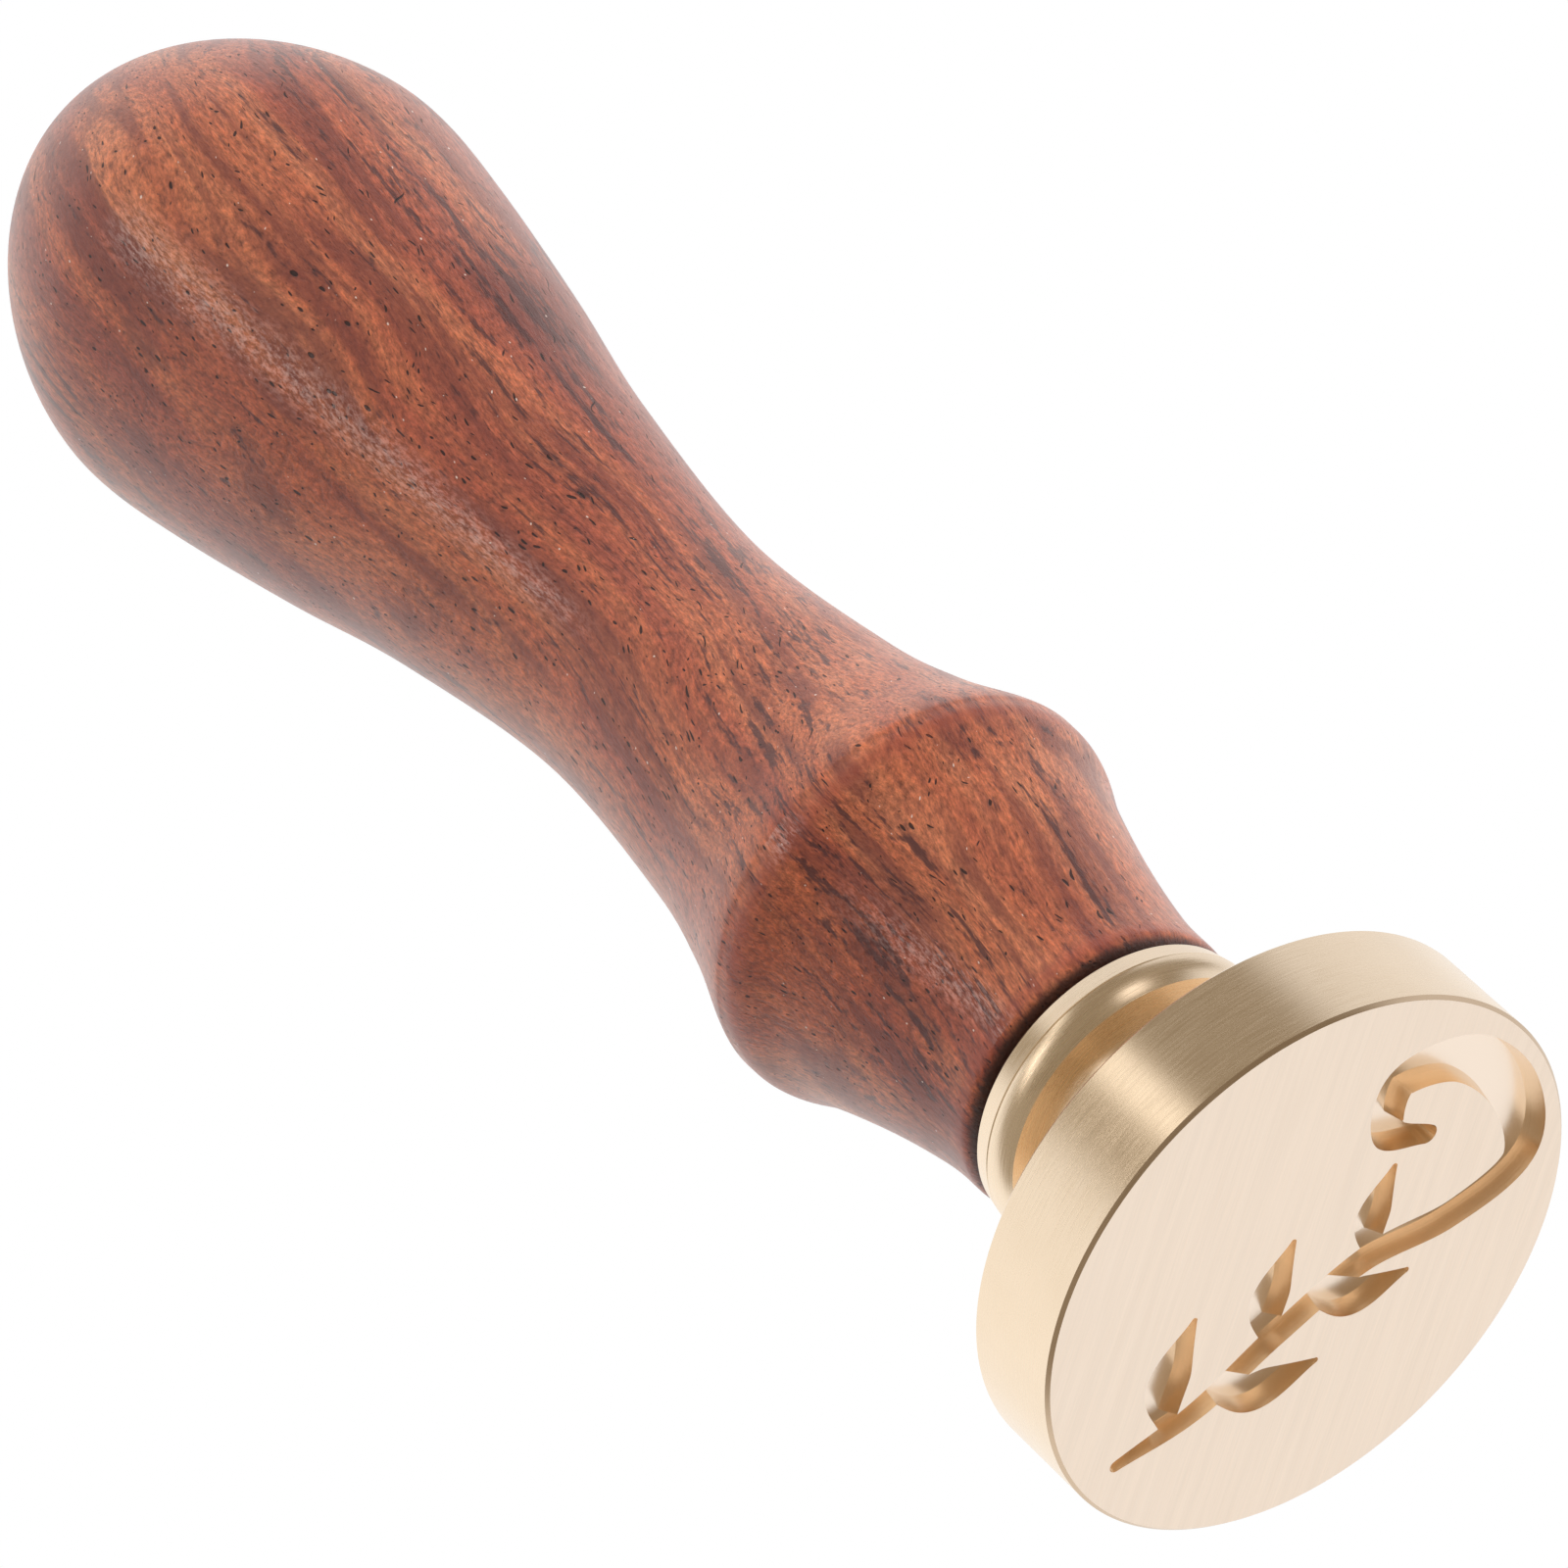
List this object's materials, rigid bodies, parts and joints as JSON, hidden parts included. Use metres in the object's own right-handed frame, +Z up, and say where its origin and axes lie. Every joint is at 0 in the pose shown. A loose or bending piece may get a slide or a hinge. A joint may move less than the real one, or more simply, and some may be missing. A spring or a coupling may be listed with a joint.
{
  "type": "wax seal stamp",
  "caption": "Hand stamp for sealing wax: a turned wooden handle screwed onto a round brass head whose flat face is engraved with a curled sprig.",
  "frame": {"origin": "centre of the flat sealing face, which is the lowest point of the stamp", "axes": "+Z up the handle's axis, from the sealing face to the crown; +X along the engraved sprig, towards its curl"},
  "size_m": [0.025, 0.025, 0.09],
  "materials": {
    "brass_head": "finely brushed, pale champagne gold",
    "zinc_steel": "zinc-plated screw thread",
    "rosewood": "satin lacquered, straight grain along the handle"
  },
  "bodies": {
    "head": {"seal_head": "brass_head"},
    "stud": {"threaded_stud": "zinc_steel"},
    "grip": {"handle": "rosewood"}
  },
  "joints": [
    {"name": "thread_lift", "type": "slide", "parent": "head", "child": "stud", "axis": [0, 0, 1], "range_m": [0, 0.009]},
    {"name": "handle_turn", "type": "hinge", "parent": "stud", "child": "grip", "pos_m": [0, 0, 0.01325], "axis": [0, 0, 1], "range_deg": [0, 3240]}
  ],
  "couplings": [
    {"joint": "thread_lift", "follows": "handle_turn", "m_per_rad": 0.00015915}
  ]
}
